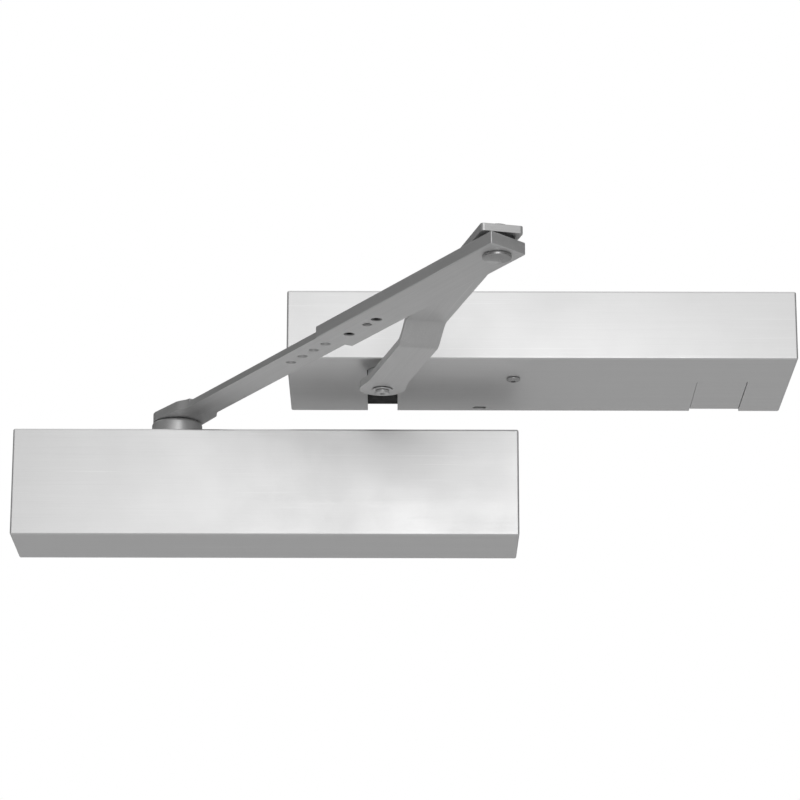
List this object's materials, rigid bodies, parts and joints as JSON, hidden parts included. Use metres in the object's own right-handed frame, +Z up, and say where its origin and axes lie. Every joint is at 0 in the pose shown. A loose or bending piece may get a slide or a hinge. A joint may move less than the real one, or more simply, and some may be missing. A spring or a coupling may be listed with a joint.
{
  "type": "door closer",
  "caption": "Door closer with a brushed cover, joined by a two-piece folding arm to a flat electromagnetic hold-open unit for the door head.",
  "frame": {"origin": "centre of the frame unit's flat mounting face, on the door head", "axes": "+X along the door head away from the hinges, +Y out of the mounting face into the wall, +Z up"},
  "size_m": [0.5043, 0.3937, 0.1394],
  "materials": {
    "brushed_cover": "brushed and clear anodised",
    "arm_steel": "ground, silver lacquer",
    "casting": "sand cast, dark",
    "machined_steel": "turned",
    "dark_steel": "blackened",
    "zinc_plate": "zinc plated",
    "brass": "turned",
    "seal_rubber": "moulded",
    "black_plastic": "moulded",
    "grey_plastic": "moulded",
    "board": "solder mask",
    "coil_winding": "enamelled wire"
  },
  "bodies": {
    "frame_unit": {"frame_backplate": "zinc_plate", "frame_body": "casting", "frame_body_screw_1": "machined_steel", "frame_body_screw_2": "machined_steel", "frame_body_screw_3": "machined_steel", "frame_body_screw_4": "machined_steel", "frame_end_cap_left": "machined_steel", "frame_end_cap_right": "machined_steel", "frame_lower_bearing": "machined_steel", "frame_upper_bearing": "machined_steel", "frame_spindle_collar": "zinc_plate", "solenoid_tube": "machined_steel", "solenoid_coil": "coil_winding", "solenoid_yoke": "zinc_plate", "solenoid_nut": "machined_steel", "board_post_1": "brass", "board_post_2": "brass", "circuit_board": "board", "terminal_block": "black_plastic", "control_relay": "grey_plastic", "frame_cover": "brushed_cover", "frame_slot_plug": "brushed_cover", "frame_cover_screw": "machined_steel"},
    "frame_rack": {"frame_piston": "machined_steel"},
    "valve_plunger": {"solenoid_plunger": "dark_steel"},
    "main_arm_body": {"main_arm": "arm_steel", "frame_spindle": "machined_steel", "main_arm_washer": "zinc_plate", "main_arm_screw": "machined_steel"},
    "forearm_body": {"forearm_sleeve": "arm_steel", "forearm_bar": "arm_steel", "forearm_set_screw_1": "dark_steel", "forearm_set_screw_2": "dark_steel", "elbow_pin": "machined_steel", "elbow_washer": "dark_steel", "elbow_retaining_ring": "dark_steel", "closer_spindle": "machined_steel", "forearm_hub_screw": "machined_steel"},
    "door_closer": {"closer_backplate": "zinc_plate", "closer_body": "casting", "closer_body_screw_1": "machined_steel", "closer_body_screw_2": "machined_steel", "closer_body_screw_3": "machined_steel", "closer_body_screw_4": "machined_steel", "closer_end_cap_left": "machined_steel", "closer_end_cap_right": "machined_steel", "closer_lower_bearing": "machined_steel", "closer_upper_bearing": "machined_steel", "closer_spindle_seal": "seal_rubber", "closer_bottom_cap": "machined_steel", "closer_collar": "arm_steel", "closer_cover": "brushed_cover", "closer_spring": "dark_steel"},
    "closer_rack": {"closer_piston": "machined_steel"},
    "spring_seat": {"closer_spring_seat": "machined_steel"},
    "power_adjuster": {"closer_spring_adjuster": "dark_steel"},
    "sweep_valve_body": {"sweep_valve": "brass"},
    "latch_valve_body": {"latch_valve": "brass"},
    "backcheck_valve_body": {"backcheck_valve": "brass"}
  },
  "joints": [
    {"name": "frame_spindle_turn", "type": "hinge", "parent": "frame_unit", "child": "main_arm_body", "pos_m": [-0.1013, -0.0878, 0], "axis": [0, 0, 1], "range_deg": [-72, 42]},
    {"name": "elbow_turn", "type": "hinge", "parent": "main_arm_body", "child": "forearm_body", "pos_m": [-0.03563, -0.34453, 0], "axis": [0, 0, 1], "range_deg": [-5, 120]},
    {"name": "closer_spindle_turn", "type": "hinge", "parent": "forearm_body", "child": "door_closer", "pos_m": [-0.2374, -0.00205, 0], "axis": [0, 0, 1], "range_deg": [-150, 15], "stiffness_Nm_per_rad": 6},
    {"name": "frame_piston_slide", "type": "slide", "parent": "frame_unit", "child": "frame_rack", "axis": [1, 0, 0], "range_m": [-0.0096, 0.0057]},
    {"name": "closer_piston_slide", "type": "slide", "parent": "door_closer", "child": "closer_rack", "axis": [1, 0, 0], "range_m": [-0.0026, 0.0238], "deforming": ["closer_spring"]},
    {"name": "plunger_slide", "type": "slide", "parent": "frame_unit", "child": "valve_plunger", "axis": [1, 0, 0], "range_m": [0, 0.003], "stiffness_N_per_m": 150},
    {"name": "power_adjuster_turn", "type": "hinge", "parent": "door_closer", "child": "power_adjuster", "pos_m": [-0.2374, -0.00205, -0.08095], "axis": [1, 0, 0], "range_deg": [-725, 2170]},
    {"name": "spring_seat_slide", "type": "slide", "parent": "door_closer", "child": "spring_seat", "axis": [-1, 0, 0], "range_m": [-0.003, 0.009], "deforming": ["closer_spring"]},
    {"name": "sweep_valve_turn", "type": "hinge", "parent": "door_closer", "child": "sweep_valve_body", "pos_m": [-0.2994, -0.02405, -0.05945], "axis": [0, 1, 0], "range_deg": [-180, 540]},
    {"name": "latch_valve_turn", "type": "hinge", "parent": "door_closer", "child": "latch_valve_body", "pos_m": [-0.2814, -0.02405, -0.05945], "axis": [0, 1, 0], "range_deg": [-180, 540]},
    {"name": "backcheck_valve_turn", "type": "hinge", "parent": "door_closer", "child": "backcheck_valve_body", "pos_m": [-0.1854, -0.02405, -0.05945], "axis": [0, 1, 0], "range_deg": [-180, 540]}
  ],
  "couplings": [
    {"joint": "frame_piston_slide", "follows": "frame_spindle_turn", "m_per_rad": 0.0075},
    {"joint": "closer_piston_slide", "follows": "closer_spindle_turn", "m_per_rad": -0.009},
    {"joint": "power_adjuster_turn", "follows": "spring_seat_slide", "rad_per_m": 4188.8}
  ]
}
